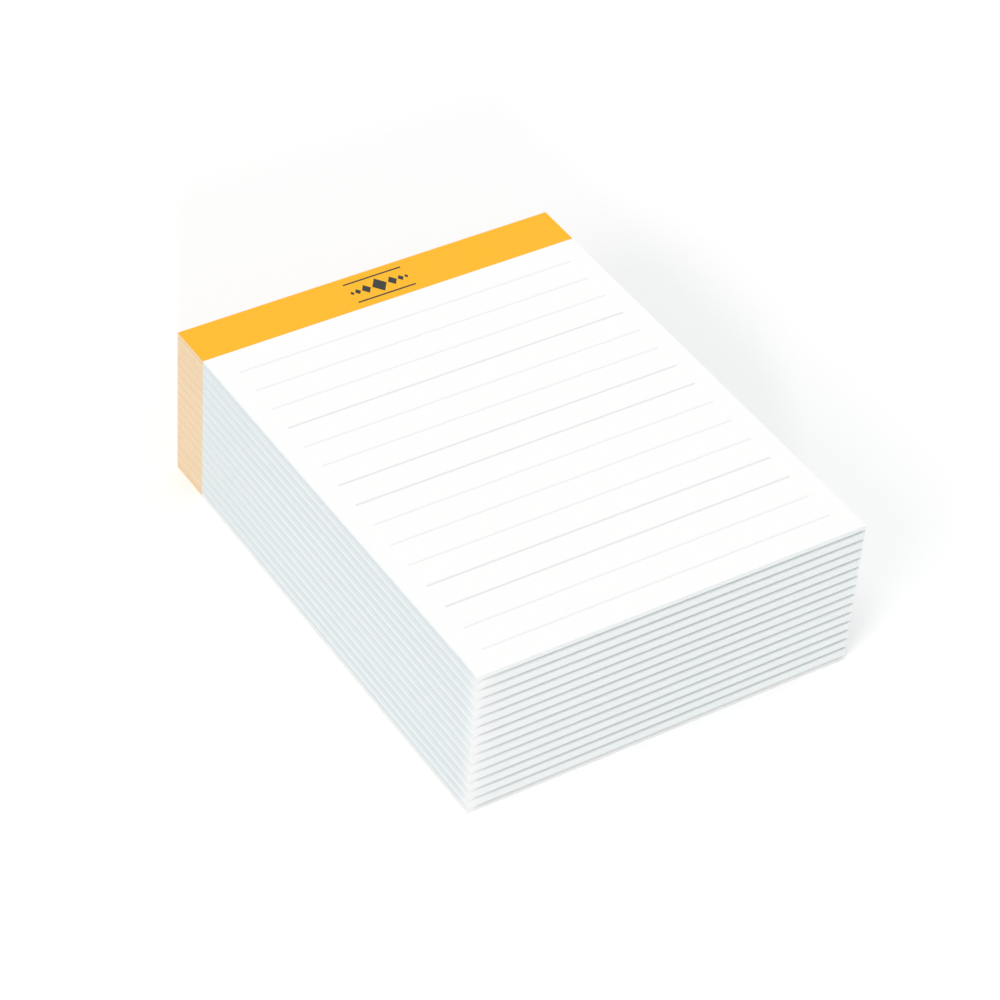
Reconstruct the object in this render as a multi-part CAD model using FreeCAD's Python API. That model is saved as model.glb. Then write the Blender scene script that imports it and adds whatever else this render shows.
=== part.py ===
import FreeCAD, Part
import os

# A thick ruled writing pad, bound at its head with padding glue.
# It lies on its backing board with the writing side up: +X to the reader's right, +Y towards the
# bound head, +Z up. The origin is the middle of the footprint, on the surface that the pad lies on.
# All sizes are in millimetres.

# The trimmed sheets: a quarter of a letter sheet, 4 1/4 by 5 1/2 inches
SHEET_WIDTH = 108.0
SHEET_DEPTH = 140.0
SHEET_THICKNESS = 0.1

# The pile: bundles of sheets counted out and knocked up together, with a few sheets left on top
BUNDLE_COUNT = 14
SHEETS_PER_BUNDLE = 29
TOP_SHEETS = 18

# The wedge-shaped gap that opens at the trimmed edges where two bundles meet: deep in front, where
# the sheets are loose, and shallow at the sides
GAP_MOUTH = 1.1
FRONT_GAP_DEPTH = 1.2
SIDE_GAP_DEPTH = 0.2

# The board under the sheets and the film of cured glue over the head
BOARD_THICKNESS = 1.0
GLUE_THICKNESS = 0.4
GLUE_EDGE_RADIUS = 0.3

# The print: a solid header band, which bleeds off the sheets' edges, and ruled lines below it
HEADER_DEPTH = 12.8
RULE_PITCH = 8.0
RULE_WIDTH = 0.6
RULE_SIDE_MARGIN = 5.7
RULE_FRONT_MARGIN = 6.0
PRINT_DEPTH = 0.1
EDGE_TINT_DEPTH = 0.1

# A rounded edge may take up to this share of the wall it is on
ROUNDING_LIMIT = 0.9
# Two coordinates nearer than this are the same place
SAME_PLACE = 1e-6

# Places that follow from the sizes
BUNDLE_THICKNESS = SHEETS_PER_BUNDLE * SHEET_THICKNESS
TOP_THICKNESS = TOP_SHEETS * SHEET_THICKNESS
PAD_HEIGHT = BOARD_THICKNESS + BUNDLE_COUNT * BUNDLE_THICKNESS + TOP_THICKNESS
PRINT_Z = PAD_HEIGHT - PRINT_DEPTH
SIDE_X = SHEET_WIDTH / 2
FRONT_Y = -(SHEET_DEPTH + GLUE_THICKNESS) / 2
HEAD_Y = FRONT_Y + SHEET_DEPTH
GLUE_Y = HEAD_Y + GLUE_THICKNESS
HEADER_Y = HEAD_Y - HEADER_DEPTH


def gap_heights():
    """Height of each gap, from the one on the backing board to the one under the top sheets."""
    return [BOARD_THICKNESS + i * BUNDLE_THICKNESS for i in range(BUNDLE_COUNT + 1)]


def notched_edge(across, depth, inward):
    """Points (across, height) up a trimmed edge, with a wedge cut inwards at every gap."""
    points = [(across, 0.0)]
    for height in gap_heights():
        points.append((across, height - GAP_MOUTH / 2))
        points.append((across + inward * depth, height))
        points.append((across, height + GAP_MOUTH / 2))
    points.append((across, PAD_HEIGHT))
    return points


def prism(corners, push):
    """The closed outline through some corners, pushed along a vector into a solid."""
    outline = Part.makePolygon(corners + corners[:1])
    return Part.Face(outline).extrude(push)


def block(x_low, x_high, y_low, y_high, z_low, z_high):
    """A plain block between two corners."""
    corner = FreeCAD.Vector(x_low, y_low, z_low)
    return Part.makeBox(x_high - x_low, y_high - y_low, z_high - z_low, corner)


def trimmed_pile():
    """Board and sheets as trimmed together: what the side and front profiles have in common."""
    left = notched_edge(-SIDE_X, SIDE_GAP_DEPTH, 1)
    right = notched_edge(SIDE_X, SIDE_GAP_DEPTH, -1)
    across = [FreeCAD.Vector(x, FRONT_Y, z) for x, z in left + right[::-1]]
    sides_profile = prism(across, FreeCAD.Vector(0, SHEET_DEPTH, 0))
    front = notched_edge(FRONT_Y, FRONT_GAP_DEPTH, 1)
    head = [(HEAD_Y, PAD_HEIGHT), (HEAD_Y, 0.0)]
    along = [FreeCAD.Vector(-SIDE_X, y, z) for y, z in front + head]
    front_profile = prism(along, FreeCAD.Vector(SHEET_WIDTH, 0, 0))
    return sides_profile.common(front_profile)


def header_print():
    """The solid band of ink across the head of the top sheet."""
    return block(-SIDE_X, SIDE_X, HEADER_Y, HEAD_Y, PRINT_Z, PAD_HEIGHT)


def header_edge_tint(pile):
    """The header's ink where it shows on both cut sides of the pile, gap after gap."""
    left = block(-SIDE_X, -SIDE_X + EDGE_TINT_DEPTH, HEADER_Y, HEAD_Y, 0.0, PRINT_Z)
    right = block(SIDE_X - EDGE_TINT_DEPTH, SIDE_X, HEADER_Y, HEAD_Y, 0.0, PRINT_Z)
    return Part.makeCompound(pile.common(left).Solids + pile.common(right).Solids)


def rule_lines():
    """Ruled lines down the sheet at one pitch, as many as clear the front margin."""
    count = int((HEADER_Y - FRONT_Y - RULE_FRONT_MARGIN) / RULE_PITCH)
    end_x = SIDE_X - RULE_SIDE_MARGIN
    rules = []
    for number in range(1, count + 1):
        middle = HEADER_Y - number * RULE_PITCH
        low = middle - RULE_WIDTH / 2
        high = middle + RULE_WIDTH / 2
        rules.append(block(-end_x, end_x, low, high, PRINT_Z, PAD_HEIGHT))
    return Part.makeCompound(rules)


def spine_glue():
    """The film of padding glue over the head, its outer edges rounded by the brush."""
    film = block(-SIDE_X, SIDE_X, HEAD_Y, GLUE_Y, 0.0, PAD_HEIGHT)
    rim = [edge for edge in film.Edges
           if all(abs(corner.Y - GLUE_Y) < SAME_PLACE for corner in edge.Vertexes)]
    return film.makeFillet(min(GLUE_EDGE_RADIUS, GLUE_THICKNESS * ROUNDING_LIMIT), rim)


def build():
    """Every piece of the pad by name."""
    pile = trimmed_pile()
    header = header_print()
    rules = rule_lines()
    tint = header_edge_tint(pile)
    unprinted = pile.cut([header, rules, tint])
    board_space = block(-SIDE_X, SIDE_X, FRONT_Y, HEAD_Y, 0.0, BOARD_THICKNESS)
    return {
        "page_block": unprinted.cut(board_space),
        "backing_board": unprinted.common(board_space),
        "spine_glue": spine_glue(),
        "header_print": header,
        "header_edge_tint": tint,
        "rule_lines": rules,
    }


os.makedirs("parts", exist_ok=True)
for name, shape in build().items():
    shape.exportStep(os.path.join("parts", name + ".step"))
    print(name, "solids", len(shape.Solids), "mm3", round(shape.Volume, 2), "valid", shape.isValid())
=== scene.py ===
"""Dresses a thick ruled writing pad: its trimmed sheets, print, board and glue, and a plain studio.

Every length is in metres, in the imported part's own frame: +X to the reader's right, +Y towards the
bound head, +Z up, with the origin in the middle of the footprint on the surface it lies on.
"""

import math

import bmesh
import bpy
from mathutils import Matrix, Vector, noise


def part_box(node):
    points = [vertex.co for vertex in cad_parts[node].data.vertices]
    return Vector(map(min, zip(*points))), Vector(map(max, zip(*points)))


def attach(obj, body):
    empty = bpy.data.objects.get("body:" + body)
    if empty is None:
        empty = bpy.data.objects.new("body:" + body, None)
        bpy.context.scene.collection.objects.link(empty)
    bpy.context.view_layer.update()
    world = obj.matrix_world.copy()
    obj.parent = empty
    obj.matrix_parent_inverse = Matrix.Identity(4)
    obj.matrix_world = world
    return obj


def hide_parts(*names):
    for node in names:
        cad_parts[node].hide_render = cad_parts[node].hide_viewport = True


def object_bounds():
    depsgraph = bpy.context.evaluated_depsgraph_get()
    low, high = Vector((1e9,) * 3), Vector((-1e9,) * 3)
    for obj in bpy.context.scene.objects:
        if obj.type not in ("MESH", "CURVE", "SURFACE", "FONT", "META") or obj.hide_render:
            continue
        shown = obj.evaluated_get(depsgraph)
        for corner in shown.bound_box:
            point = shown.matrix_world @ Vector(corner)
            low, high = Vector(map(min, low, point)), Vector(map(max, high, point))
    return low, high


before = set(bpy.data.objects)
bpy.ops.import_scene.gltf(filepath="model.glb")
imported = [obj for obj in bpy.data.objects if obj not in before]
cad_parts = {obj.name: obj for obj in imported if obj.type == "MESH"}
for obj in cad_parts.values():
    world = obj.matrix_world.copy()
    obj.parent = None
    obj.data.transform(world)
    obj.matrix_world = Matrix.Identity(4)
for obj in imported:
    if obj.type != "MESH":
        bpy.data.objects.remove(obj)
CAD_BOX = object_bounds()

bl_info = {
    "name": "Glued Writing Pad",
    "version": (1, 0, 0),
    "blender": (4, 5, 0),
    "location": "View3D > Sidebar > Writing Pad",
    "description": "Builds a ruled writing pad, sheet by sheet, with its print, board and glue",
    "category": "Mesh",
}

MM = 0.001
BODY = "root"
WHITE = (1.0, 1.0, 1.0, 1.0)

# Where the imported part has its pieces
PAGES_LOW, PAGES_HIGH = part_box("page_block")
BOARD_LOW, BOARD_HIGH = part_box("backing_board")
GLUE_LOW, GLUE_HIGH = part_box("spine_glue")
HEADER_LOW, HEADER_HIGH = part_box("header_print")
RULES_LOW, RULES_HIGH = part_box("rule_lines")

# Sizes of the blots and grains in the surfaces, and how high they stand
PAPER_CLOUD = 2.5 * MM
PAPER_TOOTH = 0.16 * MM
PAPER_TOOTH_HEIGHT = 0.006 * MM
EDGE_GRAIN = 1.2 * MM
EDGE_TOOTH = 0.12 * MM
EDGE_TOOTH_HEIGHT = 0.01 * MM
INK_MOTTLE = 0.5 * MM
INK_TOOTH_HEIGHT = 0.005 * MM
RULE_BLOT = 0.4 * MM
BOARD_CLOUD = 3.0 * MM
BOARD_FIBRE = 0.7 * MM
BOARD_TOOTH = 0.25 * MM
BOARD_TOOTH_HEIGHT = 0.02 * MM
GLUE_STROKE = 9.0 * MM
GLUE_SHEET_LINE = 60.0 * MM
GLUE_RIPPLE = 1.6 * MM
GLUE_RIPPLE_HEIGHT = 0.05 * MM

# How many times longer than high a grain is; a fibre is that much longer than deep too
EDGE_GRAIN_FLATNESS = 6.0
FIBRE_FLATNESS = 3.0
GLUE_STROKE_FLATNESS = 14.0
GLUE_SHEET_LINE_FLATNESS = 300.0
GLUE_RIPPLE_FLATNESS = 8.0

# The studio: half the floor's width, its drop under the pad, and what the camera sees
FLOOR_REACH = 4.0
FLOOR_DROP = 0.02 * MM
NEAREST_SEEN, FARTHEST_SEEN = 0.01, 20.0

# An edge looks sideways when its normal's part along x is more than this
SIDEWAYS = 0.9
# A face stands upright when its normal's part along z is less than this
UPRIGHT = 0.5
# How much the cut edges differ in brightness, and the share of it that goes by sheet
EDGE_SPREAD = 0.03
SHEET_TONE = 0.3
# Painted highlights along the sides and painted shade in the front gaps reach their full colour before
# their middle, by this factor
LINE_GAIN = 1.5
# The front gaps' painted shade sets in from before the left corner to past it, in closing lengths
GREY_FROM, GREY_FULL = -2.0, 3.0


# Settings

class PileSettings(bpy.types.PropertyGroup):
    """Sizes of the sheets and of the gaps between their bundles, and where the painted highlight lies
    on each bundle's side.
    """

    sheet_thickness: bpy.props.FloatProperty(
        name="Sheet thickness", description="Thickness of one sheet",
        default=0.1 * MM, unit="LENGTH", precision=6)
    sheets_per_bundle: bpy.props.IntProperty(
        name="Sheets per bundle", description="Sheets counted out at a time", default=29)
    gap_mouth: bpy.props.FloatProperty(
        name="Gap mouth", description="Height of the wedge that opens between two bundles",
        default=1.1 * MM, unit="LENGTH", precision=6)
    front_gap_depth: bpy.props.FloatProperty(
        name="Front gap depth", description="How far the wedge reaches in from the front edge",
        default=1.2 * MM, unit="LENGTH", precision=6)
    side_gap_depth: bpy.props.FloatProperty(
        name="Side gap depth", description="How far the wedge reaches in from the sides",
        default=0.1 * MM, unit="LENGTH", precision=6)
    left_closing: bpy.props.FloatProperty(
        name="Left closing", description="Length over which the gaps close at the left front corner",
        default=5.0 * MM, unit="LENGTH", precision=6)
    right_closing: bpy.props.FloatProperty(
        name="Right closing", description="Length over which the gaps close at the right front corner",
        default=0.6 * MM, unit="LENGTH", precision=6)
    # Where the painted highlight lies along each bundle's side
    highlight_place: bpy.props.FloatProperty(
        name="Highlight place", description="Sheets from a gap down to the painted highlight on the bundle under it",
        default=13.0)
    highlight_reach: bpy.props.FloatProperty(
        name="Highlight reach", description="Sheets from the middle of a painted highlight to its edge", default=4.2)
    shift: bpy.props.FloatProperty(
        name="Sheet shift", description="How far a sheet may lie from its neighbours after trimming",
        default=0.015 * MM, unit="LENGTH", precision=6)
    seed: bpy.props.IntProperty(name="Seed", description="Seed of the small differences", default=7)


class PrintSettings(bpy.types.PropertyGroup):
    """Sizes and colours of the print on the top sheet."""

    film: bpy.props.FloatProperty(
        name="Ink film", description="Height of each layer of ink above the one below it",
        default=0.01 * MM, unit="LENGTH", precision=6)
    header_colour: bpy.props.FloatVectorProperty(
        name="Header ink", description="Colour of the header band", subtype="COLOR", size=3,
        default=(1.0, 0.5, 0.0205), min=0.0, max=1.0)
    ornament_colour: bpy.props.FloatVectorProperty(
        name="Ornament ink", description="Colour of the small header ornament", subtype="COLOR",
        size=3, default=(0.035, 0.042, 0.038), min=0.0, max=1.0)
    rule_colour: bpy.props.FloatVectorProperty(
        name="Rule ink", description="Colour of the ruled lines", subtype="COLOR", size=3,
        default=(0.888, 0.89, 0.892), min=0.0, max=1.0)
    heavy_rule_colour: bpy.props.FloatVectorProperty(
        name="Heavy rule ink", description="Colour of the ruled lines that took more ink",
        subtype="COLOR", size=3, default=(0.82, 0.825, 0.83), min=0.0, max=1.0)
    blot_strength: bpy.props.FloatProperty(
        name="Blot strength", description="How unevenly the ruled lines took their ink",
        default=0.3)
    rule_pitch: bpy.props.FloatProperty(
        name="Rule pitch", description="Distance from one ruled line to the next",
        default=8.0 * MM, unit="LENGTH", precision=6)
    rule_width: bpy.props.FloatProperty(
        name="Rule width", description="Width of a ruled line",
        default=0.6 * MM, unit="LENGTH", precision=6)


class FinishSettings(bpy.types.PropertyGroup):
    """Colours of the paper, board and glue, the painted shade and highlights on the cut edges, and how
    strongly their marks show.
    """

    paper_colour: bpy.props.FloatVectorProperty(
        name="Paper", description="Colour of the writing side", subtype="COLOR", size=3,
        default=(0.982, 0.982, 0.98), min=0.0, max=1.0)
    # Painted shade: the front and side edges are shaded copies of one paper, greyer than the writing
    # side, the sides more so
    front_shaded_colour: bpy.props.FloatVectorProperty(
        name="Front edge", description="Colour of the trimmed front edges, with painted shade", subtype="COLOR", size=3,
        default=(0.858, 0.906, 0.914), min=0.0, max=1.0)
    side_shaded_colour: bpy.props.FloatVectorProperty(
        name="Side edge", description="Colour of the trimmed side edges, with more painted shade", subtype="COLOR", size=3,
        default=(0.724, 0.796, 0.812), min=0.0, max=1.0)
    # Painted highlight along the side of each bundle
    highlight_colour: bpy.props.FloatVectorProperty(
        name="Bundle highlight", description="Colour of the painted highlight along the side of each bundle",
        subtype="COLOR", size=3, default=(0.886, 0.949, 0.963), min=0.0, max=1.0)
    # Painted shade inside the front gaps, where the wedges between bundles open
    gap_shade_colour: bpy.props.FloatVectorProperty(
        name="Gap", description="Painted shade on the edges inside a front gap", subtype="COLOR", size=3,
        default=(0.66, 0.69, 0.694), min=0.0, max=1.0)
    tint_colour: bpy.props.FloatVectorProperty(
        name="Edge tint", description="Colour of the cut edges below the header", subtype="COLOR",
        size=3, default=(0.862, 0.652, 0.41), min=0.0, max=1.0)
    board_colour: bpy.props.FloatVectorProperty(
        name="Board", description="Colour of the backing board", subtype="COLOR", size=3,
        default=(0.86, 0.88, 0.88), min=0.0, max=1.0)
    glue_colour: bpy.props.FloatVectorProperty(
        name="Glue", description="Colour of the tinted edges through the glue", subtype="COLOR",
        size=3, default=(0.90, 0.70, 0.46), min=0.0, max=1.0)
    glue_clearness: bpy.props.FloatProperty(
        name="Glue clearness", description="How much of the sheets' lines shows through the glue",
        default=0.25)
    glue_coat: bpy.props.FloatProperty(
        name="Glue coat", description="Weight of the gloss on the glue", default=0.35)
    glue_coat_roughness: bpy.props.FloatProperty(
        name="Glue coat roughness", description="Roughness of the gloss on the glue", default=0.2)
    fibre_colour: bpy.props.FloatVectorProperty(
        name="Fibres", description="Colour of the dark fibres in the board", subtype="COLOR",
        size=3, default=(0.45, 0.43, 0.39), min=0.0, max=1.0)
    fibre_strength: bpy.props.FloatProperty(
        name="Fibre strength", description="How strongly the dark fibres show", default=0.4)
    # How the painted side highlights fade towards the header and show in its edge tint
    highlight_fade_start: bpy.props.FloatProperty(
        name="Highlight fade start", description="Distance from the front at which the painted side highlights start to fade",
        default=75.0 * MM, unit="LENGTH", precision=6)
    highlight_fade_loss: bpy.props.FloatProperty(
        name="Highlight fade loss", description="Share of a painted side highlight that has faded at the header", default=0.5)
    tint_highlight: bpy.props.FloatProperty(
        name="Tinted highlight", description="Share of a painted side highlight that shows in the header's edge tint",
        default=0.2)
    # The next six settings place a painted highlight that whitens the left front corner, along the
    # front and along the left side
    corner_highlight_reach: bpy.props.FloatProperty(
        name="Corner highlight", description="Reach of the painted highlight along the front",
        default=8.0 * MM, unit="LENGTH", precision=6)
    corner_highlight_strength: bpy.props.FloatProperty(
        name="Corner highlight strength", description="How white the painted highlight makes the front at its left end",
        default=0.4)
    corner_highlight_fade: bpy.props.FloatProperty(
        name="Corner highlight fade", description="Length over which painted highlight whitens the front towards its left corner",
        default=62.0 * MM, unit="LENGTH", precision=6)
    corner_highlight_fade_strength: bpy.props.FloatProperty(
        name="Corner highlight fade strength", description="How far painted highlight whitens the front at its left end",
        default=0.23)
    side_highlight_reach: bpy.props.FloatProperty(
        name="Side corner highlight", description="Reach of the painted highlight along the left side",
        default=7.0 * MM, unit="LENGTH", precision=6)
    side_highlight_strength: bpy.props.FloatProperty(
        name="Side corner highlight strength", description="How white the painted highlight makes the left side at its front",
        default=0.65)


class StageSettings(bpy.types.PropertyGroup):
    """The camera and the studio light."""

    azimuth: bpy.props.FloatProperty(
        name="Azimuth", description="Where the camera stands, from the front towards the right",
        default=math.radians(-35.09), subtype="ANGLE")
    elevation: bpy.props.FloatProperty(
        name="Elevation", description="Height of the camera above the horizon",
        default=math.radians(40.66), subtype="ANGLE")
    roll: bpy.props.FloatProperty(
        name="Roll", description="Turn of the camera about its line of sight",
        default=math.radians(4.46), subtype="ANGLE")
    distance: bpy.props.FloatProperty(
        name="Distance", description="From the camera to the point it looks at",
        default=0.8834, unit="LENGTH")
    target: bpy.props.FloatVectorProperty(
        name="Target", description="The point that the camera looks at", subtype="XYZ", size=3,
        default=(-0.00288, -0.00072, 0.02165), unit="LENGTH")
    lens: bpy.props.FloatProperty(
        name="Lens", description="Focal length in millimetres", default=130.07)
    sky_level: bpy.props.FloatProperty(
        name="Sky level", description="Strength of the even light from all round", default=0.6375)
    sky_colour: bpy.props.FloatVectorProperty(
        name="Sky colour", description="Colour of the even light, a little cool", subtype="COLOR",
        size=3, default=(0.954, 0.99, 1.0), min=0.0, max=1.0)
    left_lamp: bpy.props.FloatVectorProperty(
        name="Left lamp", description="Bearing from +X, height and spread in degrees, strength",
        size=4, default=(205.17, 30.78, 22.91, 0.642))
    front_lamp: bpy.props.FloatVectorProperty(
        name="Front lamp", description="Bearing from +X, height and spread in degrees, strength",
        size=4, default=(242.87, 18.63, 6.32, 0.607))
    top_lamp: bpy.props.FloatVectorProperty(
        name="Top lamp", description="Bearing from +X, height and spread in degrees, strength",
        size=4, default=(213.7, 69.01, 21.88, 0.566))
    fill_lamp: bpy.props.FloatVectorProperty(
        name="Fill lamp", description="Bearing from +X, height and spread in degrees, strength",
        size=4, default=(40.0, 30.0, 80.0, 0.46))
    lamp_colour: bpy.props.FloatVectorProperty(
        name="Lamp colour", description="Colour of the lamps but the top one, a little warm",
        subtype="COLOR", size=3, default=(1.0, 0.889, 0.859), min=0.0, max=1.0)
    floor_bounce: bpy.props.FloatProperty(
        name="Floor bounce", description="Brightness of the floor that lights the pad", default=0.8)
    floor_white: bpy.props.FloatProperty(
        name="Floor white", description="Brightness of the floor that the camera sees", default=0.9)
    floor_glow: bpy.props.FloatProperty(
        name="Floor glow", description="Light that the floor adds to what the camera sees",
        default=0.12)


# Meshes

def mesh_object(name, bm, materials):
    """Turns a bmesh into an object at the origin that shows the given materials."""
    bmesh.ops.recalc_face_normals(bm, faces=bm.faces)
    mesh = bpy.data.meshes.new(name)
    bm.to_mesh(mesh)
    bm.free()
    for material in materials:
        mesh.materials.append(material)
    piece = bpy.data.objects.new(name, mesh)
    bpy.context.scene.collection.objects.link(piece)
    return piece


def plain_mesh(piece):
    """Makes what a piece's modifiers show its own mesh, and takes the modifiers off."""
    graph = bpy.context.evaluated_depsgraph_get()
    made = bpy.data.meshes.new_from_object(piece.evaluated_get(graph))
    old = piece.data
    piece.modifiers.clear()
    piece.data = made
    made.name = piece.name
    bpy.data.meshes.remove(old)
    return piece


def seat(piece, slot, *nodes):
    """Fixes a finished piece to the pad's only body, in place of the nodes that it stands for."""
    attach(piece, BODY)
    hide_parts(*nodes)


def smooth(share):
    """An even rise from 0 to 1."""
    share = min(max(share, 0.0), 1.0)
    return share * share * (3.0 - 2.0 * share)


def pad_outline(inset, left_closing, right_closing):
    """Corners of a trimmed sheet, each with how much of a gap's depth it moves in along x and y."""
    left, right = PAGES_LOW.x + inset, PAGES_HIGH.x - inset
    front, head = PAGES_LOW.y + inset, PAGES_HIGH.y
    shares = (0.25, 0.5, 0.75, 1.0)
    points = [(left, front, 0.0, 0.0)]
    points += [(left + share * left_closing, front, 0.0, smooth(share)) for share in shares]
    points += [(right - share * right_closing, front, 0.0, smooth(share)) for share in shares[::-1]]
    points += [(right, front, 0.0, 0.0), (right, front + right_closing, -1.0, 0.0)]
    points += [(right, head, -1.0, 0.0), (left, head, 1.0, 0.0)]
    points += [(left, front + share * left_closing, smooth(share), 0.0) for share in shares[::-1]]
    return points


def stacked_rings(bm, rings):
    """A closed solid through rings of vertices, from the lowest to the highest."""
    for low, high in zip(rings, rings[1:]):
        for i in range(len(low)):
            j = (i + 1) % len(low)
            bm.faces.new((low[i], low[j], high[j], high[i]))
    bm.faces.new(rings[0][::-1])
    bm.faces.new(rings[-1])


def slab(bm, low, high):
    """A closed block between two corners."""
    corners = [(low[0], low[1]), (high[0], low[1]), (high[0], high[1]), (low[0], high[1])]
    rings = [[bm.verts.new((x, y, z)) for x, y in corners] for z in (low[2], high[2])]
    stacked_rings(bm, rings)


# Geometry nodes

def node(tree, kind, inputs=None, **settings):
    """Adds a node, with its settings and with values or links on its inputs."""
    made = tree.nodes.new(kind)
    for name, value in settings.items():
        setattr(made, name, value)
    for socket, value in (inputs or {}).items():
        if isinstance(value, bpy.types.NodeSocket):
            tree.links.new(value, made.inputs[socket])
        else:
            made.inputs[socket].default_value = value
    return made


def calc(tree, operation, first, second=None, third=None, clamp=False):
    """The result of one sum on sockets or numbers, in a shader or a geometry tree."""
    inputs = {i: value for i, value in enumerate((first, second, third)) if value is not None}
    return node(tree, "ShaderNodeMath", inputs, operation=operation, use_clamp=clamp).outputs[0]


def geometry_tree(name, inputs):
    """A new geometry tree with named inputs, as (tree, its input sockets by name)."""
    tree = bpy.data.node_groups.new(name, "GeometryNodeTree")
    tree.interface.new_socket("Geometry", in_out="OUTPUT", socket_type="NodeSocketGeometry")
    tree.interface.new_socket("Geometry", in_out="INPUT", socket_type="NodeSocketGeometry")
    for label, kind in inputs:
        tree.interface.new_socket(label, in_out="INPUT", socket_type="NodeSocket" + kind)
    return tree, {socket.name: socket for socket in tree.nodes.new("NodeGroupInput").outputs}


def run_tree(piece, tree, values):
    """Runs a geometry tree on a piece with its inputs set, and keeps the result as a plain mesh."""
    modifier = piece.modifiers.new(tree.name, "NODES")
    modifier.node_group = tree
    keys = {item.name: item.identifier for item in tree.interface.items_tree
            if item.in_out == "INPUT"}
    for label, value in values.items():
        modifier[keys[label]] = value
    plain_mesh(piece)
    bpy.data.node_groups.remove(tree)
    return piece


def store(tree, geometry, name, value, domain="POINT"):
    """Stores a number on the geometry under a name, and gives the geometry on."""
    inputs = {"Geometry": geometry, "Name": name, "Value": value}
    return node(tree, "GeometryNodeStoreNamedAttribute", inputs, data_type="FLOAT",
                domain=domain).outputs[0]


def named(tree, name):
    """The stored number of that name."""
    return node(tree, "GeometryNodeInputNamedAttribute", {"Name": name},
                data_type="FLOAT").outputs[0]


def pile_tree():
    """One sheet becomes the pile: a wedge opens at the edges wherever two bundles meet, and each
    bundle gets a band for a painted highlight on its side.
    """
    tree, ask = geometry_tree("Pile of sheets", [
        ("Sheets", "Int"), ("Pitch", "Float"), ("Foot", "Float"), ("Sheets Per Bundle", "Float"),
        ("Gap Mouth", "Float"), ("Front Depth", "Float"), ("Side Depth", "Float"),
        ("Highlight Place", "Float"), ("Highlight Reach", "Float"), ("Shift", "Float"),
        ("Seed", "Int"), ("Edge Finish", "Material"), ("Paper Finish", "Material")])
    start = node(tree, "ShaderNodeCombineXYZ", {"Z": ask["Foot"]}).outputs[0]
    step = node(tree, "ShaderNodeCombineXYZ", {"Z": ask["Pitch"]}).outputs[0]
    line = node(tree, "GeometryNodeMeshLine", {
        "Count": ask["Sheets"], "Start Location": start, "Offset": step}).outputs[0]
    line = store(tree, line, "sheet", node(tree, "GeometryNodeInputIndex").outputs[0])
    pile = node(tree, "GeometryNodeInstanceOnPoints", {
        "Points": line, "Instance": ask["Geometry"]}).outputs[0]
    pile = node(tree, "GeometryNodeRealizeInstances", {"Geometry": pile}).outputs[0]

    # Heights are counted in sheets, to the middle of each sheet
    sheet = named(tree, "sheet")
    above = calc(tree, "MODULO", calc(tree, "ADD", sheet, 0.5), ask["Sheets Per Bundle"])
    below = calc(tree, "SUBTRACT", ask["Sheets Per Bundle"], above)
    half_mouth = calc(tree, "DIVIDE", calc(tree, "MULTIPLY", ask["Gap Mouth"], 0.5), ask["Pitch"])
    away = calc(tree, "DIVIDE", calc(tree, "MINIMUM", above, below), half_mouth)
    opening = calc(tree, "SUBTRACT", 1.0, away, clamp=True)
    # Where the painted highlight goes: a band of sheets a set number under each gap
    off_highlight = calc(tree, "ABSOLUTE", calc(tree, "SUBTRACT", below, ask["Highlight Place"]))
    off_highlight = calc(tree, "DIVIDE", off_highlight, ask["Highlight Reach"])
    bundle_highlight = calc(tree, "SUBTRACT", 1.0, off_highlight, clamp=True)
    tone = node(tree, "FunctionNodeRandomValue", {
        "Min": -1.0, "Max": 1.0, "ID": sheet, "Seed": ask["Seed"]}, data_type="FLOAT")
    tone = next(socket for socket in tone.outputs if socket.enabled)
    pile = store(tree, pile, "gap", opening)
    pile = store(tree, pile, "bundle_highlight", bundle_highlight)
    pile = store(tree, pile, "tone", tone)

    inward = node(tree, "ShaderNodeCombineXYZ", {
        "X": calc(tree, "MULTIPLY", named(tree, "pull_x"), ask["Side Depth"]),
        "Y": calc(tree, "MULTIPLY", named(tree, "pull_y"), ask["Front Depth"])}).outputs[0]
    inward = node(tree, "ShaderNodeVectorMath", {
        0: inward, "Scale": opening}, operation="SCALE").outputs[0]
    shift = node(tree, "FunctionNodeRandomValue", {
        "ID": sheet, "Seed": calc(tree, "ADD", ask["Seed"], 1.0)}, data_type="FLOAT_VECTOR")
    spread = node(tree, "ShaderNodeCombineXYZ", {"X": ask["Shift"], "Y": ask["Shift"]}).outputs[0]
    back = node(tree, "ShaderNodeVectorMath", {
        0: spread, "Scale": -1.0}, operation="SCALE").outputs[0]
    tree.links.new(spread, shift.inputs["Max"])
    tree.links.new(back, shift.inputs["Min"])
    shift = next(socket for socket in shift.outputs if socket.enabled)
    move = node(tree, "ShaderNodeVectorMath", {0: inward, 1: shift}, operation="ADD").outputs[0]
    pile = node(tree, "GeometryNodeSetPosition", {"Geometry": pile, "Offset": move}).outputs[0]

    normal = node(tree, "GeometryNodeInputNormal").outputs[0]
    up = node(tree, "ShaderNodeSeparateXYZ", {0: normal}).outputs["Z"]
    last = calc(tree, "GREATER_THAN", sheet, calc(tree, "SUBTRACT", ask["Sheets"], 1.5))
    written = node(tree, "FunctionNodeCompare", {
        0: calc(tree, "MULTIPLY", up, last), 1: 0.5}, data_type="FLOAT", operation="GREATER_THAN")
    pile = node(tree, "GeometryNodeSetMaterial", {
        "Geometry": pile, "Material": ask["Edge Finish"]}).outputs[0]
    pile = node(tree, "GeometryNodeSetMaterial", {
        "Geometry": pile, "Selection": written.outputs[0],
        "Material": ask["Paper Finish"]}).outputs[0]
    node(tree, "NodeGroupOutput", {0: pile})
    return tree


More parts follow.
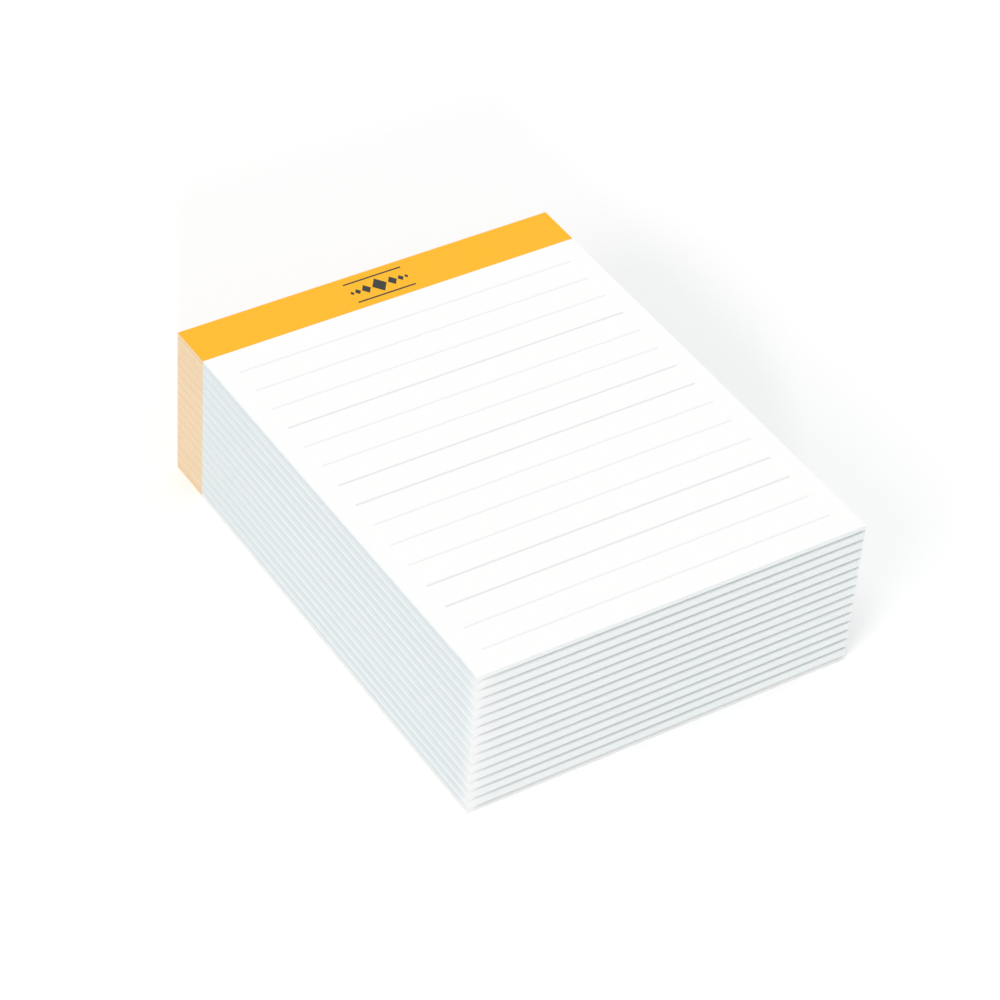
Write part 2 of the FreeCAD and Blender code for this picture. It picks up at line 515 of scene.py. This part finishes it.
def rules_tree():
    """One ruled line becomes all of them, evenly spaced down the sheet."""
    tree, ask = geometry_tree("Ruled lines", [
        ("Lines", "Int"), ("Pitch", "Float"), ("Ink Finish", "Material")])
    step = node(tree, "ShaderNodeCombineXYZ", {
        "Y": calc(tree, "MULTIPLY", ask["Pitch"], -1.0)}).outputs[0]
    line = node(tree, "GeometryNodeMeshLine", {"Count": ask["Lines"], "Offset": step}).outputs[0]
    line = store(tree, line, "rule", node(tree, "GeometryNodeInputIndex").outputs[0])
    rules = node(tree, "GeometryNodeInstanceOnPoints", {
        "Points": line, "Instance": ask["Geometry"]}).outputs[0]
    rules = node(tree, "GeometryNodeRealizeInstances", {"Geometry": rules}).outputs[0]
    rules = node(tree, "GeometryNodeSetMaterial", {
        "Geometry": rules, "Material": ask["Ink Finish"]}).outputs[0]
    node(tree, "NodeGroupOutput", {0: rules})
    return tree


# Materials

def new_material(name, roughness, specular):
    """A material with one principled shader, as (material, node tree, shader)."""
    material = bpy.data.materials.new(name)
    material.use_nodes = True
    tree = material.node_tree
    shader = next(n for n in tree.nodes if n.type == "BSDF_PRINCIPLED")
    shader.inputs["Roughness"].default_value = roughness
    shader.inputs["Specular IOR Level"].default_value = specular
    return material, tree, shader


def mixed(tree, factor, first, second):
    """The colour that lies between two, by a factor."""
    return node(tree, "ShaderNodeMix", {0: factor, 6: first, 7: second},
                data_type="RGBA").outputs[2]


def solid(colour):
    """A colour with its alpha."""
    return (*colour, 1.0)


def shaded(colour, share):
    """A colour made darker or lighter by a share."""
    return tuple(min(part * share, 1.0) for part in colour) + (1.0,)


def clouded(tree, factor, colour, dark, light):
    """A colour that varies between two levels, by a factor."""
    return mixed(tree, factor, shaded(colour, dark), shaded(colour, light))


def coordinates(tree):
    """The object coordinates of a shader tree, whole and as x, y and z."""
    whole = node(tree, "ShaderNodeTexCoord").outputs["Object"]
    parts = node(tree, "ShaderNodeSeparateXYZ", {0: whole}).outputs
    return whole, parts["X"], parts["Y"], parts["Z"]


def speckle(tree, place, size, detail=2.0):
    """Noise from 0 to 1 with blots of about the given size."""
    return node(tree, "ShaderNodeTexNoise", {
        "Vector": place, "Scale": 1.0 / size, "Detail": detail}).outputs["Fac"]


def stretched(tree, place, scale):
    """Coordinates scaled along each axis, for a pattern with a grain."""
    return node(tree, "ShaderNodeMapping", {
        "Vector": place, "Scale": scale}, vector_type="POINT").outputs[0]


def roughen(tree, shader, height, depth):
    """Raises the surface by a height from 0 to 1 times a depth."""
    bump = node(tree, "ShaderNodeBump", {"Height": height, "Strength": 1.0, "Distance": depth})
    tree.links.new(bump.outputs[0], shader.inputs["Normal"])


def ramp(tree, value, start, stop):
    """An even rise from 0 to 1 as a value goes from start to stop."""
    return node(tree, "ShaderNodeMapRange", {
        "Value": value, "From Min": start, "From Max": stop},
        interpolation_type="SMOOTHSTEP").outputs[0]


def paper_material(colour):
    """Uncoated writing paper: a cloudy formation and a fine tooth."""
    material, tree, shader = new_material("writing_paper", roughness=0.82, specular=0.2)
    place, _, _, _ = coordinates(tree)
    cloud = speckle(tree, place, PAPER_CLOUD, detail=4.0)
    tree.links.new(clouded(tree, cloud, colour, dark=0.99, light=1.005),
                   shader.inputs["Base Color"])
    roughen(tree, shader, speckle(tree, place, PAPER_TOOTH, detail=3.0), PAPER_TOOTH_HEIGHT)
    return material


def attribute(tree, name):
    """A number stored on the mesh."""
    return node(tree, "ShaderNodeAttribute", attribute_name=name).outputs["Fac"]


def side_on(tree):
    """1 on a side edge, and 0 on a front or head edge, above and below."""
    normal = node(tree, "ShaderNodeTexCoord").outputs["Normal"]
    across = node(tree, "ShaderNodeSeparateXYZ", {0: normal}).outputs["X"]
    return calc(tree, "GREATER_THAN", calc(tree, "ABSOLUTE", across), SIDEWAYS)


def highlight_falloff(tree, along, reach, most):
    """Painted highlight that falls off from a corner by the square, and ends at its reach."""
    share = calc(tree, "SUBTRACT", 1.0, calc(tree, "DIVIDE", along, reach), clamp=True)
    return calc(tree, "MULTIPLY", calc(tree, "POWER", share, 2.0), most)


def corner_glow(tree, x, y, side, finish):
    """How much painted highlight whitens the left front corner, along the front and along the side."""
    along_front = calc(tree, "SUBTRACT", x, PAGES_LOW.x)
    along_side = calc(tree, "SUBTRACT", y, PAGES_LOW.y)
    fade = calc(tree, "MULTIPLY", ramp(tree, along_front, finish.corner_highlight_fade, 0.0),
                finish.corner_highlight_fade_strength)
    tip_highlight = highlight_falloff(tree, along_front, finish.corner_highlight_reach, finish.corner_highlight_strength)
    on_front = calc(tree, "ADD", tip_highlight, fade)
    on_side = highlight_falloff(tree, along_side, finish.side_highlight_reach, finish.side_highlight_strength)
    return node(tree, "ShaderNodeMix", {0: side, 2: on_front, 3: on_side},
                data_type="FLOAT").outputs[0]


def plain_edges(tree, place, side, finish):
    """The colour of the cut edges between their lines, a little different from sheet to sheet, with
    painted shade: the edges greyer than the writing side, and the sides greyer than the front.
    """
    flattened = stretched(tree, place, (1.0, 1.0, EDGE_GRAIN_FLATNESS))
    grain = speckle(tree, flattened, EDGE_GRAIN, detail=3.0)
    varied = calc(tree, "MULTIPLY_ADD", attribute(tree, "tone"), SHEET_TONE, grain, clamp=True)
    level = calc(tree, "MULTIPLY_ADD", varied, EDGE_SPREAD, 1.0 - EDGE_SPREAD / 2)
    level = node(tree, "ShaderNodeCombineXYZ", {"X": level, "Y": level, "Z": level}).outputs[0]
    # Painted shade makes the sides darker than the front
    colour = mixed(tree, side, solid(finish.front_shaded_colour), solid(finish.side_shaded_colour))
    return node(tree, "ShaderNodeVectorMath", {0: colour, 1: level},
                operation="MULTIPLY").outputs[0]


def highlight_share(tree, y, side, finish):
    """How much painted highlight shows along a bundle: on the sides alone, and less towards the
    header.
    """
    highlight_fading = ramp(tree, y, PAGES_LOW.y + finish.highlight_fade_start, HEADER_LOW.y)
    highlight_left = calc(tree, "MULTIPLY_ADD", highlight_fading, -finish.highlight_fade_loss, 1.0)
    pale = calc(tree, "MULTIPLY", attribute(tree, "bundle_highlight"), LINE_GAIN, clamp=True)
    return calc(tree, "MULTIPLY", calc(tree, "MULTIPLY", pale, highlight_left), side)


def gap_shade_share(tree, x, side, pile):
    """How much painted shade a gap gets: in front alone, and less where it closes at the left corner.
    """
    grey = calc(tree, "MULTIPLY", attribute(tree, "gap"), LINE_GAIN, clamp=True)
    grey = calc(tree, "MULTIPLY", grey, calc(tree, "SUBTRACT", 1.0, side))
    shut = ramp(tree, x, PAGES_LOW.x + GREY_FROM * pile.left_closing,
                PAGES_LOW.x + GREY_FULL * pile.left_closing)
    return calc(tree, "MULTIPLY", grey, shut)


def below_header(tree, y, side):
    """1 on a side edge under the header band, and 0 elsewhere."""
    return calc(tree, "MULTIPLY", calc(tree, "GREATER_THAN", y, HEADER_LOW.y), side)


def edge_material(finish, pile):
    """The trimmed edges of the sheets, painted greyer than the writing side: painted highlights along
    the sides, painted shade in the gaps in front.
    """
    material, tree, shader = new_material("cut_edges", roughness=0.85, specular=0.15)
    place, x, y, _ = coordinates(tree)
    side = side_on(tree)
    # Painted highlight along each bundle's side
    pale = highlight_share(tree, y, side, finish)
    colour = mixed(tree, pale, plain_edges(tree, place, side, finish),
                   solid(finish.highlight_colour))
    # Painted shade darkens the edges inside the front gaps
    colour = mixed(tree, gap_shade_share(tree, x, side, pile), colour, solid(finish.gap_shade_colour))
    # The painted side highlight also shows a little in the header's edge tint
    stripe = mixed(tree, calc(tree, "MULTIPLY", pale, finish.tint_highlight),
                   solid(finish.tint_colour), solid(finish.highlight_colour))
    colour = mixed(tree, below_header(tree, y, side), colour, stripe)
    # Painted highlight whitens the edges at the left front corner
    colour = mixed(tree, corner_glow(tree, x, y, side, finish), colour, WHITE)
    tree.links.new(colour, shader.inputs["Base Color"])
    roughen(tree, shader, speckle(tree, place, EDGE_TOOTH), EDGE_TOOTH_HEIGHT)
    return material


def ink_material(name, colour, roughness):
    """A solid print: a little mottled, with the paper's tooth under it."""
    material, tree, shader = new_material(name, roughness, specular=0.2)
    place, _, _, _ = coordinates(tree)
    mottle = speckle(tree, place, INK_MOTTLE, detail=5.0)
    tree.links.new(clouded(tree, mottle, colour, dark=0.985, light=1.01),
                   shader.inputs["Base Color"])
    roughen(tree, shader, speckle(tree, place, PAPER_TOOTH, detail=3.0), INK_TOOTH_HEIGHT)
    return material


def rule_material(settings):
    """Thin pale ink, with more of it on some of the lines."""
    material, tree, shader = new_material("rule_ink", roughness=0.75, specular=0.2)
    place, _, _, _ = coordinates(tree)
    blots = calc(tree, "SUBTRACT", speckle(tree, place, RULE_BLOT, detail=3.0), 0.5)
    heavy = calc(tree, "MULTIPLY_ADD", blots, settings.blot_strength,
                 attribute(tree, "heavy"), clamp=True)
    tree.links.new(mixed(tree, heavy, solid(settings.rule_colour),
                         solid(settings.heavy_rule_colour)), shader.inputs["Base Color"])
    return material


def board_material(finish):
    """Pale pulp board: cloudy, with a few grey and brown fibres, and painted highlight on its rim at
    the left front corner.
    """
    material, tree, shader = new_material("pulp_board", roughness=0.88, specular=0.15)
    place, x, y, _ = coordinates(tree)
    cloud = speckle(tree, place, BOARD_CLOUD, detail=5.0)
    colour = clouded(tree, cloud, finish.board_colour, dark=0.93, light=1.04)
    thinned = stretched(tree, place, (1.0, FIBRE_FLATNESS, FIBRE_FLATNESS))
    fibres = ramp(tree, speckle(tree, thinned, BOARD_FIBRE, detail=1.0), start=0.68, stop=0.74)
    colour = mixed(tree, calc(tree, "MULTIPLY", fibres, finish.fibre_strength), colour,
                   solid(finish.fibre_colour))
    side = side_on(tree)
    normal = node(tree, "ShaderNodeTexCoord").outputs["Normal"]
    up = node(tree, "ShaderNodeSeparateXYZ", {0: normal}).outputs["Z"]
    # Painted highlight whitens the board's rim at the left front corner
    rim = calc(tree, "LESS_THAN", calc(tree, "ABSOLUTE", up), UPRIGHT)
    glow = calc(tree, "MULTIPLY", corner_glow(tree, x, y, side, finish), rim)
    colour = mixed(tree, glow, colour, WHITE)
    colour = mixed(tree, below_header(tree, y, side), colour, solid(finish.tint_colour))
    tree.links.new(colour, shader.inputs["Base Color"])
    roughen(tree, shader, speckle(tree, place, BOARD_TOOTH, detail=4.0), BOARD_TOOTH_HEIGHT)
    return material


def glue_material(finish):
    """Clear flexible glue, brushed thin over the tinted edges of the sheets."""
    material, tree, shader = new_material("padding_glue", roughness=0.32, specular=0.5)
    place, _, _, _ = coordinates(tree)
    brushed = stretched(tree, place, (1.0, 1.0, GLUE_STROKE_FLATNESS))
    strokes = speckle(tree, brushed, GLUE_STROKE, detail=4.0)
    colour = clouded(tree, strokes, finish.glue_colour, dark=0.95, light=1.04)
    layered = stretched(tree, place, (1.0, 1.0, GLUE_SHEET_LINE_FLATNESS))
    sheets = speckle(tree, layered, GLUE_SHEET_LINE)
    colour = mixed(tree, calc(tree, "MULTIPLY", sheets, finish.glue_clearness), colour,
                   solid(finish.tint_colour))
    tree.links.new(colour, shader.inputs["Base Color"])
    shader.inputs["Coat Weight"].default_value = finish.glue_coat
    shader.inputs["Coat Roughness"].default_value = finish.glue_coat_roughness
    rippled = stretched(tree, place, (1.0, 1.0, GLUE_RIPPLE_FLATNESS))
    roughen(tree, shader, speckle(tree, rippled, GLUE_RIPPLE, detail=3.0), GLUE_RIPPLE_HEIGHT)
    return material


def neutral(level):
    """A neutral colour of a brightness."""
    return (level, level, level, 1.0)


def seen_directly(tree):
    """1 for rays from the camera, also through gloss or glass, and 0 for the rays that light."""
    rays = node(tree, "ShaderNodeLightPath").outputs
    seen = calc(tree, "MAXIMUM", rays["Is Camera Ray"], rays["Is Glossy Ray"])
    return calc(tree, "MAXIMUM", seen, rays["Is Transmission Ray"])


def floor_material(stage):
    """A white floor that keeps its shadow, and looks paler to the camera than to the object."""
    material = bpy.data.materials.new("studio_floor")
    material.use_nodes = True
    tree = material.node_tree
    tree.nodes.clear()
    seen = seen_directly(tree)
    colour = mixed(tree, seen, neutral(stage.floor_bounce), neutral(stage.floor_white))
    lit = node(tree, "ShaderNodeBsdfDiffuse", {"Color": colour}).outputs[0]
    backlit = node(tree, "ShaderNodeEmission", {
        "Strength": calc(tree, "MULTIPLY", seen, stage.floor_glow)}).outputs[0]
    surface = node(tree, "ShaderNodeAddShader", {0: lit, 1: backlit})
    node(tree, "ShaderNodeOutputMaterial", {"Surface": surface.outputs[0]})
    return material


# Operators

class PieceOperator:
    """What every step that makes a piece has in common."""

    bl_options = {"REGISTER", "UNDO"}


class MakeSheets(PieceOperator, bpy.types.Operator):
    """Pile up the trimmed sheets"""

    bl_idname = "writing_pad.make_sheets"
    bl_label = "Pile of Sheets"

    def execute(self, context):
        pile = context.scene.pad_pile
        finish = context.scene.pad_finish
        ink = context.scene.pad_print
        height = PAGES_HIGH.z - PAGES_LOW.z
        count = round(height / pile.sheet_thickness)
        pitch = (height - 2.0 * ink.film) / count
        bm = bmesh.new()
        pull_x = bm.verts.layers.float.new("pull_x")
        pull_y = bm.verts.layers.float.new("pull_y")
        rings = []
        for z in (0.0, pitch):
            ring = []
            for x, y, across, along in pad_outline(pile.shift, pile.left_closing,
                                                   pile.right_closing):
                vert = bm.verts.new((x, y, z))
                vert[pull_x], vert[pull_y] = across, along
                ring.append(vert)
            rings.append(ring)
        stacked_rings(bm, rings)
        piece = mesh_object("sheet_pile", bm, [])
        run_tree(piece, pile_tree(), {
            "Sheets": count, "Pitch": pitch, "Foot": PAGES_LOW.z,
            "Sheets Per Bundle": float(pile.sheets_per_bundle), "Gap Mouth": pile.gap_mouth,
            "Front Depth": pile.front_gap_depth, "Side Depth": pile.side_gap_depth,
            "Highlight Place": pile.highlight_place, "Highlight Reach": pile.highlight_reach,
            "Shift": pile.shift,
            "Seed": pile.seed, "Edge Finish": edge_material(finish, pile),
            "Paper Finish": paper_material(finish.paper_colour)})
        seat(piece, "paper", "page_block", "header_edge_tint")
        return {"FINISHED"}


class MakeBoard(PieceOperator, bpy.types.Operator):
    """Lay the backing board under the sheets"""

    bl_idname = "writing_pad.make_board"
    bl_label = "Backing Board"

    edge_rounding: bpy.props.FloatProperty(
        name="Edge rounding", description="How far the cut edge is worn round",
        default=0.06 * MM, unit="LENGTH", precision=6)

    def execute(self, context):
        pile = context.scene.pad_pile
        rounding = self.edge_rounding
        third = rounding / 3
        low, high = BOARD_LOW.z, BOARD_HIGH.z
        mouth = high - pile.gap_mouth / 2
        levels = [(low, rounding, 0.0), (low + third, third, 0.0), (low + rounding, 0.0, 0.0),
                  (mouth, 0.0, 0.0), (high, 0.0, 1.0)]
        bm = bmesh.new()
        rings = []
        for z, inset, opening in levels:
            outline = pad_outline(inset, pile.left_closing, pile.right_closing)
            rings.append([bm.verts.new((x + across * opening * pile.side_gap_depth,
                                        y + along * opening * pile.front_gap_depth, z))
                          for x, y, across, along in outline])
        stacked_rings(bm, rings)
        piece = mesh_object("board", bm, [board_material(context.scene.pad_finish)])
        seat(piece, "board", "backing_board", "header_edge_tint")
        return {"FINISHED"}


class MakeGlue(PieceOperator, bpy.types.Operator):
    """Brush the padding glue over the head"""

    bl_idname = "writing_pad.make_glue"
    bl_label = "Padding Glue"

    cell: bpy.props.FloatProperty(
        name="Cell", description="Size of the mesh that holds the brush marks",
        default=0.8 * MM, unit="LENGTH", precision=6)
    rim: bpy.props.FloatProperty(
        name="Rim", description="Width over which the film thins to its edge",
        default=0.5 * MM, unit="LENGTH", precision=6)

    # Length across the head and height of a brush stroke and of a pool of glue
    STROKE_SIZE = (30 * MM, 1.4 * MM)
    POOL_SIZE = (12 * MM, 9 * MM)
    # The film's usual thickness, and how much strokes and pools change it, as shares of the fullest
    USUAL, STROKE_CHANGE, POOL_CHANGE = 0.82, 0.1, 0.08
    # Share of its thickness that is left at the very rim
    LEFT_AT_RIM = 0.25

    def film(self, x, z):
        """Share of the film's full thickness at a place on the head."""
        edge = min(x - GLUE_LOW.x, GLUE_HIGH.x - x, z - GLUE_LOW.z, GLUE_HIGH.z - z)
        share = min(max(edge / self.rim, 0.0), 1.0)
        stroke = noise.noise(Vector((x / self.STROKE_SIZE[0], 0.0, z / self.STROKE_SIZE[1])))
        pool = noise.noise(Vector((x / self.POOL_SIZE[0], 5.0, z / self.POOL_SIZE[1])))
        full = self.USUAL + self.STROKE_CHANGE * stroke + self.POOL_CHANGE * pool
        rounded = math.sqrt(share * (2.0 - share))
        return (self.LEFT_AT_RIM + (1.0 - self.LEFT_AT_RIM) * rounded) * min(full, 1.0)

    def execute(self, context):
        depth = GLUE_HIGH.y - GLUE_LOW.y
        columns = round((GLUE_HIGH.x - GLUE_LOW.x) / self.cell)
        rows = round((GLUE_HIGH.z - GLUE_LOW.z) / self.cell)
        steps_x = rim_steps(GLUE_LOW.x, GLUE_HIGH.x, columns, self.rim)
        steps_z = rim_steps(GLUE_LOW.z, GLUE_HIGH.z, rows, self.rim)
        bm = bmesh.new()
        back = [[bm.verts.new((x, GLUE_LOW.y + depth * self.film(x, z), z)) for x in steps_x]
                for z in steps_z]
        for low, high in zip(back, back[1:]):
            for i in range(len(steps_x) - 1):
                face = bm.faces.new((low[i + 1], low[i], high[i], high[i + 1]))
                face.smooth = True
        border = (back[0] + [row[-1] for row in back[1:-1]] + back[-1][::-1]
                  + [row[0] for row in back[-2:0:-1]])
        inner = [bm.verts.new((vert.co.x, GLUE_LOW.y, vert.co.z)) for vert in border]
        for i in range(len(border)):
            j = (i + 1) % len(border)
            bm.faces.new((border[i], border[j], inner[j], inner[i]))
        bm.faces.new(inner)
        piece = mesh_object("glue_film", bm, [glue_material(context.scene.pad_finish)])
        seat(piece, "padding_glue", "spine_glue")
        return {"FINISHED"}


def rim_steps(low, high, count, rim):
    """Even steps from low to high, with a few more inside each rim."""
    inner = [low + rim + (high - low - 2 * rim) * i / count for i in range(count + 1)]
    near = [rim * share for share in (0.0, 0.08, 0.25, 0.5)]
    return [low + part for part in near] + inner + [high - part for part in near[::-1]]


class MakeHeader(PieceOperator, bpy.types.Operator):
    """Print the header band, with a small ornament of lozenges"""

    bl_idname = "writing_pad.make_header"
    bl_label = "Header Band"

    lozenge: bpy.props.FloatProperty(
        name="Lozenge", description="Half the width of the middle lozenge",
        default=2.1 * MM, unit="LENGTH", precision=6)
    slope: bpy.props.FloatProperty(
        name="Slope", description="Depth of a lozenge as a share of its width", default=1.35)
    hairline: bpy.props.FloatProperty(
        name="Hairline", description="Width of the lines above and below the lozenges",
        default=0.5 * MM, unit="LENGTH", precision=6)

    def execute(self, context):
        ink = context.scene.pad_print
        top = HEADER_HIGH.z - ink.film
        bm = bmesh.new()
        slab(bm, (HEADER_LOW.x, HEADER_LOW.y, HEADER_LOW.z), (HEADER_HIGH.x, HEADER_HIGH.y, top))
        band = mesh_object("header_band", bm, [
            ink_material("header_ink", ink.header_colour, roughness=0.6)])
        seat(band, "header_ink", "header_print")
        bm = bmesh.new()
        self.ornament(bm, top, HEADER_HIGH.z)
        mark = mesh_object("header_ornament", bm, [
            ink_material("ornament_ink", ink.ornament_colour, roughness=0.55)])
        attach(mark, BODY)
        return {"FINISHED"}

    # Widths of the lozenges from the middle outwards, as shares of the middle one
    SHARES = (1.0, 0.62, 0.4, 0.26)
    # Room between two lozenges, beside what goes by the inner one's size
    ROOM, ROOM_SHARE = 0.2 * MM, 0.72
    # Half the hairlines' length, and their place off the middle, in half widths of the middle one
    HAIRLINE_REACH, HAIRLINE_PLACE = 4.0, 1.85

    def ornament(self, bm, low, high):
        """A row of lozenges that shrink outwards, between two hairlines."""
        middle = Vector((0.0, (HEADER_LOW.y + HEADER_HIGH.y) / 2, 0.0))
        size = self.lozenge
        place = 0.0
        for share in self.SHARES:
            half = size * share
            for side in ((0,) if place == 0.0 else (-1, 1)):
                self.diamond(bm, middle + Vector((side * place, 0.0, 0.0)), half, low, high)
            place += half + size * self.ROOM_SHARE * share + self.ROOM
        thin = self.hairline / 2
        end = self.HAIRLINE_REACH * size
        for side in (-1, 1):
            y = middle.y + side * size * self.HAIRLINE_PLACE
            slab(bm, (-end, y - thin, low), (end, y + thin, high))

    def diamond(self, bm, centre, half, low, high):
        """A closed lozenge."""
        deep = half * self.slope
        corners = [(half, 0.0), (0.0, deep), (-half, 0.0), (0.0, -deep)]
        rings = [[bm.verts.new((centre.x + x, centre.y + y, z)) for x, y in corners]
                 for z in (low, high)]
        stacked_rings(bm, rings)


class MakeRules(PieceOperator, bpy.types.Operator):
    """Print the ruled lines"""

    bl_idname = "writing_pad.make_rules"
    bl_label = "Ruled Lines"

    heavy_rules: bpy.props.IntVectorProperty(
        name="Heavy rules", description="Lines that took more ink, counted from the header",
        size=5, default=(4, 7, 8, 12, 13))

    def execute(self, context):
        ink = context.scene.pad_print
        reach = RULES_HIGH.y - RULES_LOW.y - ink.rule_width
        count = round(reach / ink.rule_pitch) + 1
        bm = bmesh.new()
        slab(bm, (RULES_LOW.x, RULES_HIGH.y - ink.rule_width, RULES_LOW.z),
             (RULES_HIGH.x, RULES_HIGH.y, RULES_HIGH.z))
        piece = mesh_object("ruled_lines", bm, [])
        run_tree(piece, rules_tree(), {
            "Lines": count, "Pitch": reach / (count - 1), "Ink Finish": rule_material(ink)})
        number = piece.data.attributes["rule"].data
        heavy = piece.data.attributes.new("heavy", "FLOAT", "POINT")
        for i, item in enumerate(number):
            heavy.data[i].value = 1.0 if round(item.value) + 1 in self.heavy_rules else 0.0
        seat(piece, "rule_ink", "rule_lines")
        return {"FINISHED"}


class MakeStage(PieceOperator, bpy.types.Operator):
    """Set up the floor, the light and the camera"""

    bl_idname = "writing_pad.make_stage"
    bl_label = "Studio"

    def execute(self, context):
        stage = context.scene.pad_stage
        self.floor(CAD_BOX[0].z, stage)
        self.sky(context.scene, stage.sky_level, stage.sky_colour)
        self.sun("left_lamp", *stage.left_lamp, stage.lamp_colour)
        self.sun("front_lamp", *stage.front_lamp, stage.lamp_colour)
        self.sun("top_lamp", *stage.top_lamp, WHITE[:3])
        self.sun("fill_lamp", *stage.fill_lamp, stage.lamp_colour)
        self.camera(context.scene, stage)
        context.scene.view_settings.view_transform = "Standard"
        return {"FINISHED"}

    def floor(self, height, stage):
        """A wide plain floor just under the pad."""
        bm = bmesh.new()
        reach = FLOOR_REACH
        corners = [(-reach, -reach), (reach, -reach), (reach, reach), (-reach, reach)]
        bm.faces.new([bm.verts.new((x, y, height - FLOOR_DROP)) for x, y in corners])
        floor = mesh_object("studio_floor", bm, [floor_material(stage)])

    def sky(self, scene, level, colour):
        """Even light from all round, white to the camera and in reflections."""
        world = bpy.data.worlds.new("studio_sky")
        world.use_nodes = True
        scene.world = world
        tree = world.node_tree
        tree.nodes.clear()
        seen = seen_directly(tree)
        strength = calc(tree, "MULTIPLY_ADD", seen, 1.0 - level, level)
        shade = mixed(tree, seen, solid(colour), WHITE)
        sky = node(tree, "ShaderNodeBackground", {"Color": shade, "Strength": strength})
        node(tree, "ShaderNodeOutputWorld", {"Surface": sky.outputs[0]})

    def sun(self, name, bearing, height, spread, strength, colour):
        """A soft lamp at a bearing from +X across the floor and a height, in degrees."""
        lamp = bpy.data.lights.new(name, "SUN")
        lamp.energy = strength
        lamp.color = colour
        lamp.angle = math.radians(spread)
        turn, lift = math.radians(bearing), math.radians(height)
        away = Vector((math.cos(turn) * math.cos(lift), math.sin(turn) * math.cos(lift),
                       math.sin(lift)))
        holder = bpy.data.objects.new(name, lamp)
        holder.rotation_mode = "QUATERNION"
        holder.rotation_quaternion = away.to_track_quat("Z", "Y")
        bpy.context.scene.collection.objects.link(holder)

    def camera(self, scene, stage):
        """The camera at its bearing, height and roll round the point that it looks at."""
        lens = bpy.data.cameras.new("camera")
        lens.lens = stage.lens
        lens.clip_start, lens.clip_end = NEAREST_SEEN, FARTHEST_SEEN
        holder = bpy.data.objects.new("camera", lens)
        bearing = Matrix.Rotation(stage.azimuth, 4, "Z")
        lift = Matrix.Rotation(math.pi / 2 - stage.elevation, 4, "X")
        roll = Matrix.Rotation(stage.roll, 4, "Z")
        back = Matrix.Translation((0.0, 0.0, stage.distance))
        holder.matrix_world = Matrix.Translation(stage.target) @ bearing @ lift @ roll @ back
        scene.collection.objects.link(holder)
        scene.camera = holder


class WRITING_PAD_PT_panel(bpy.types.Panel):
    """Lists the steps that build the pad, with their settings."""

    bl_label = "Writing Pad"
    bl_idname = "WRITING_PAD_PT_panel"
    bl_space_type = "VIEW_3D"
    bl_region_type = "UI"
    bl_category = "Writing Pad"

    def draw(self, context):
        for step in STEPS:
            self.layout.operator(step.bl_idname)
        for group, _ in GROUPS:
            settings = getattr(context.scene, group)
            box = self.layout.box()
            for key in settings.bl_rna.properties.keys():
                if key not in ("name", "rna_type"):
                    box.prop(settings, key)


GROUPS = (
    ("pad_pile", PileSettings),
    ("pad_print", PrintSettings),
    ("pad_finish", FinishSettings),
    ("pad_stage", StageSettings),
)
STEPS = (MakeSheets, MakeBoard, MakeGlue, MakeHeader, MakeRules, MakeStage)


def register():
    for _, group in GROUPS:
        bpy.utils.register_class(group)
    for name, group in GROUPS:
        setattr(bpy.types.Scene, name, bpy.props.PointerProperty(type=group))
    for step in STEPS:
        bpy.utils.register_class(step)
    bpy.utils.register_class(WRITING_PAD_PT_panel)


def unregister():
    bpy.utils.unregister_class(WRITING_PAD_PT_panel)
    for step in reversed(STEPS):
        bpy.utils.unregister_class(step)
    for name, _ in GROUPS:
        delattr(bpy.types.Scene, name)
    for _, group in reversed(GROUPS):
        bpy.utils.unregister_class(group)


def main():
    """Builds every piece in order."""
    register()
    bpy.ops.writing_pad.make_sheets()
    bpy.ops.writing_pad.make_board()
    bpy.ops.writing_pad.make_glue()
    bpy.ops.writing_pad.make_header()
    bpy.ops.writing_pad.make_rules()
    bpy.ops.writing_pad.make_stage()


if __name__ == "__main__":
    main()
